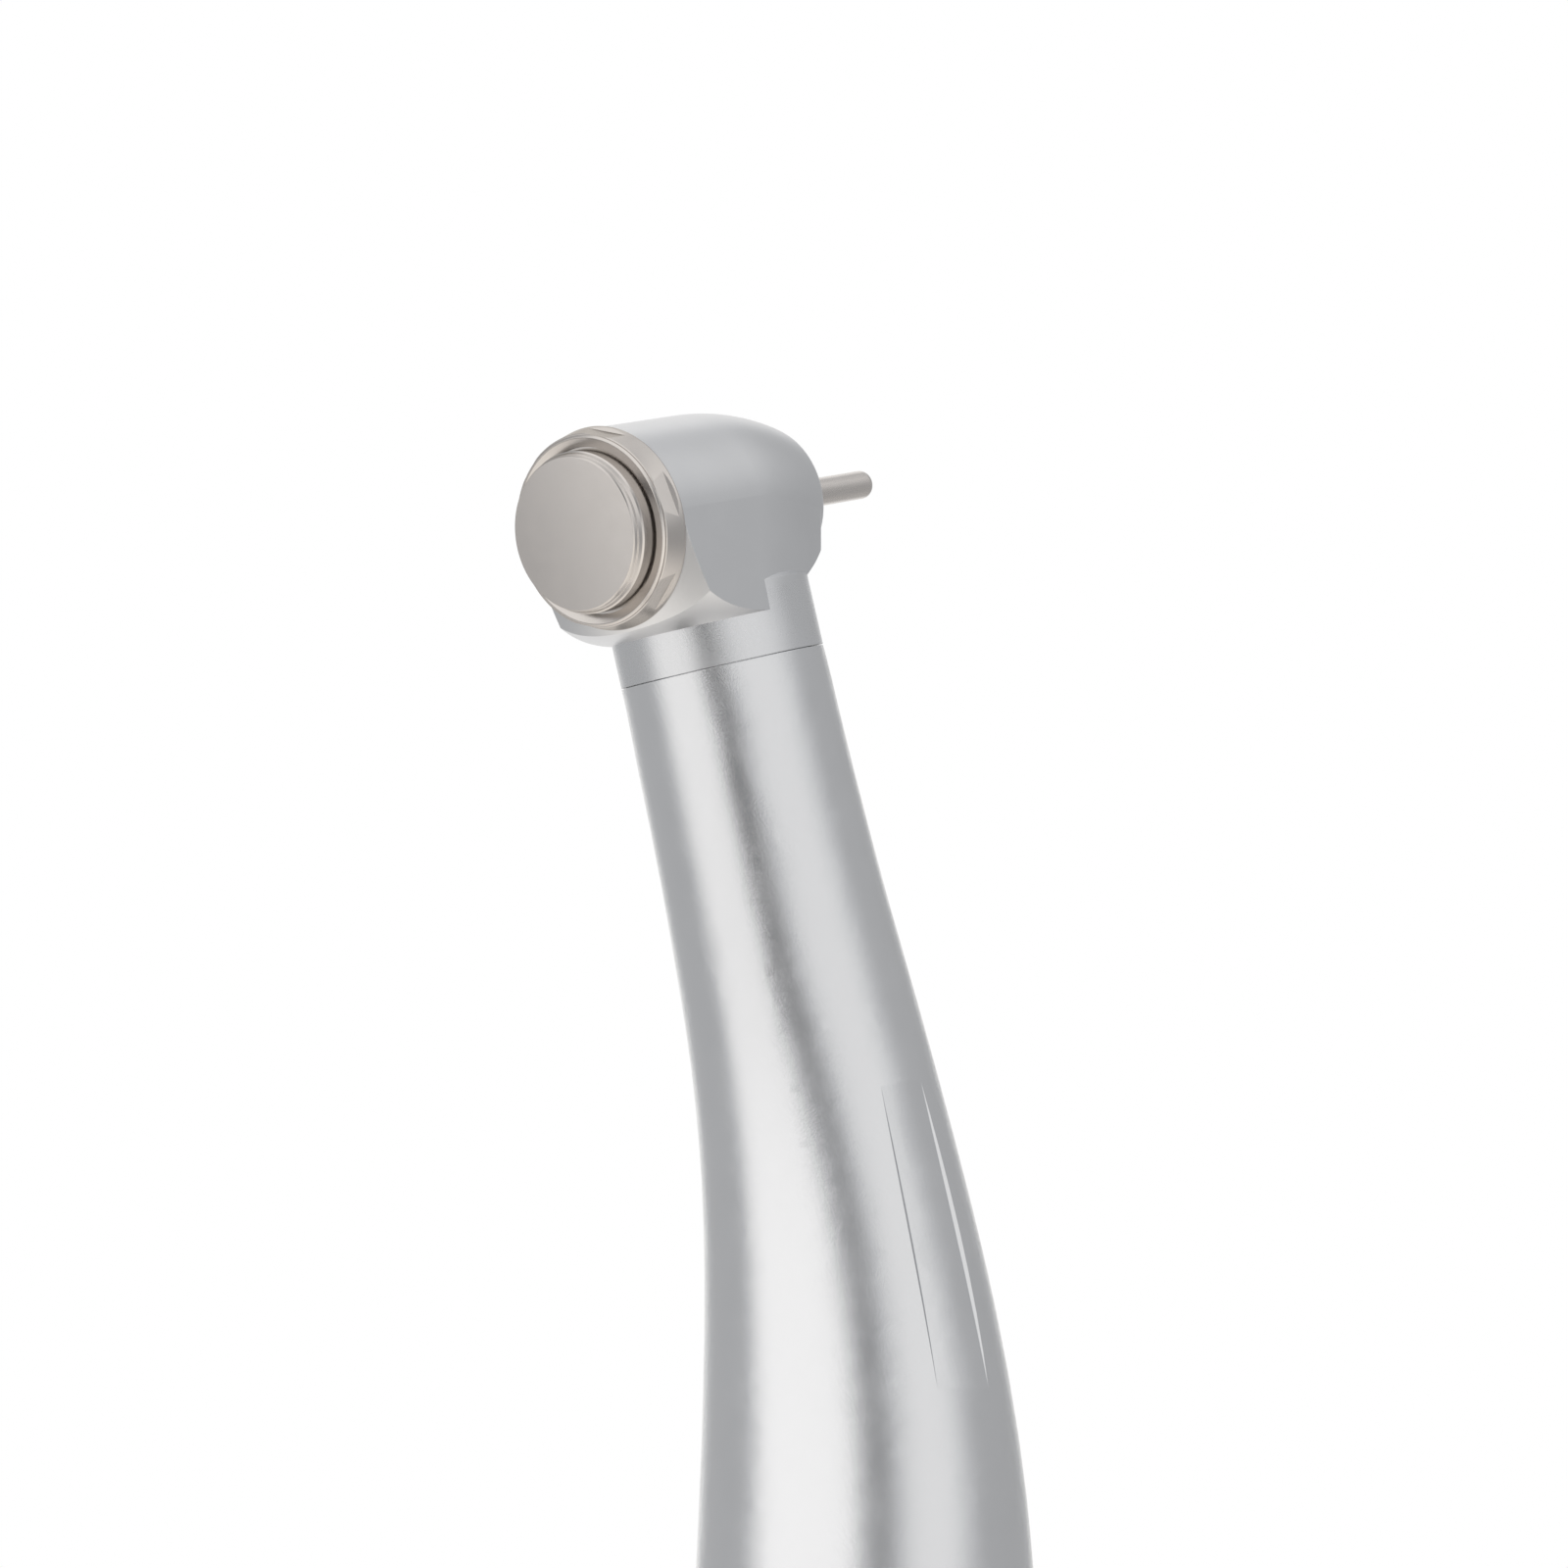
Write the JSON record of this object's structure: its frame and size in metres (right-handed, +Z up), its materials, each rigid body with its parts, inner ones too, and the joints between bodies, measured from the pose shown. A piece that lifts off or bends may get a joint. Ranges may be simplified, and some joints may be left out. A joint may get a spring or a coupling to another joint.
{
  "type": "high speed handpiece",
  "caption": "Bent metal dental air-turbine handpiece with a push-button head, a bur held in its chuck and a threaded hose connector at the rear.",
  "frame": {"origin": "centre of the hose connector's seating face, on the rear handle axis", "axes": "+Z up the rear of the handle towards the head, -X the way the neck leans, +X the side the bur points to, Y across"},
  "size_m": [0.0347, 0.0188, 0.1331],
  "materials": {
    "head_steel": "satin, bead-blasted",
    "handle_steel": "satin, finely brushed round the handle",
    "cap_steel": "satin nickel-grey",
    "bur_steel": "satin, drawn along its length",
    "connector_steel": "turned",
    "collar_steel": "knurled",
    "bearing_steel": "ground and polished",
    "ball_ceramic": "polished silicon nitride",
    "cage_resin": "machined phenolic",
    "impeller_aluminium": "machined",
    "spindle_steel": "ground",
    "spring_steel": "drawn wire",
    "seal_rubber": "moulded nitrile",
    "tube_steel": "drawn tube",
    "fitting_brass": "machined"
  },
  "bodies": {
    "casing": {"head_housing": "head_steel", "head_cap": "cap_steel", "button_spring": "spring_steel", "spray_ring": "cap_steel", "rear_bearing_carrier": "spindle_steel", "carrier_o_ring": "seal_rubber", "wave_washer": "spring_steel", "rear_outer_race": "bearing_steel", "rear_bearing_o_ring": "seal_rubber", "front_outer_race": "bearing_steel", "front_bearing_o_ring": "seal_rubber", "neck_o_ring": "seal_rubber", "tube_bulkhead": "fitting_brass", "handle_shell": "handle_steel", "drive_air_tube": "tube_steel", "water_tube": "tube_steel", "chip_air_tube": "tube_steel", "tube_spacers": "fitting_brass", "water_check_valve": "seal_rubber", "rear_connector": "connector_steel", "connector_o_ring": "seal_rubber", "rear_collar": "collar_steel", "drive_air_nipple": "tube_steel", "water_nipple": "tube_steel", "chip_air_nipple": "tube_steel"},
    "button": {"push_button": "cap_steel"},
    "rotor": {"spindle": "spindle_steel", "impeller": "impeller_aluminium", "chuck_collet": "spindle_steel", "chuck_spring": "spring_steel", "rear_inner_race": "bearing_steel", "front_inner_race": "bearing_steel"},
    "plunger": {"release_plunger": "spindle_steel"},
    "rear_ball_set": {"rear_balls": "ball_ceramic", "rear_cage": "cage_resin"},
    "front_ball_set": {"front_balls": "ball_ceramic", "front_cage": "cage_resin"},
    "bur": {"test_bur": "bur_steel"}
  },
  "joints": [
    {"name": "rotor_spin", "type": "hinge", "parent": "casing", "child": "rotor", "pos_m": [-0.01473, 0, 0.11649], "axis": [0.9421, 0, 0.3355], "continuous": true},
    {"name": "rear_cage_spin", "type": "hinge", "parent": "casing", "child": "rear_ball_set", "pos_m": [-0.01473, 0, 0.11649], "axis": [0.9421, 0, 0.3355], "continuous": true},
    {"name": "front_cage_spin", "type": "hinge", "parent": "casing", "child": "front_ball_set", "pos_m": [-0.01473, 0, 0.11649], "axis": [0.9421, 0, 0.3355], "continuous": true},
    {"name": "button_press", "type": "slide", "parent": "casing", "child": "button", "axis": [0.9421, 0, 0.3355], "range_m": [0, 0.0009], "stiffness_N_per_m": 3700, "springref_m": -0.0005, "deforming": ["button_spring"]},
    {"name": "plunger_press", "type": "slide", "parent": "rotor", "child": "plunger", "axis": [0.9421, 0, 0.3355], "range_m": [0, 0.0006], "deforming": ["chuck_spring"]},
    {"name": "bur_pull", "type": "slide", "parent": "rotor", "child": "bur", "axis": [0.9421, 0, 0.3355], "range_m": [0, 0.012]}
  ],
  "couplings": [
    {"joint": "rear_cage_spin", "follows": "rotor_spin", "ratio": 0.395},
    {"joint": "front_cage_spin", "follows": "rotor_spin", "ratio": 0.395},
    {"joint": "plunger_press", "follows": "button_press", "ratio": 0.6666}
  ]
}
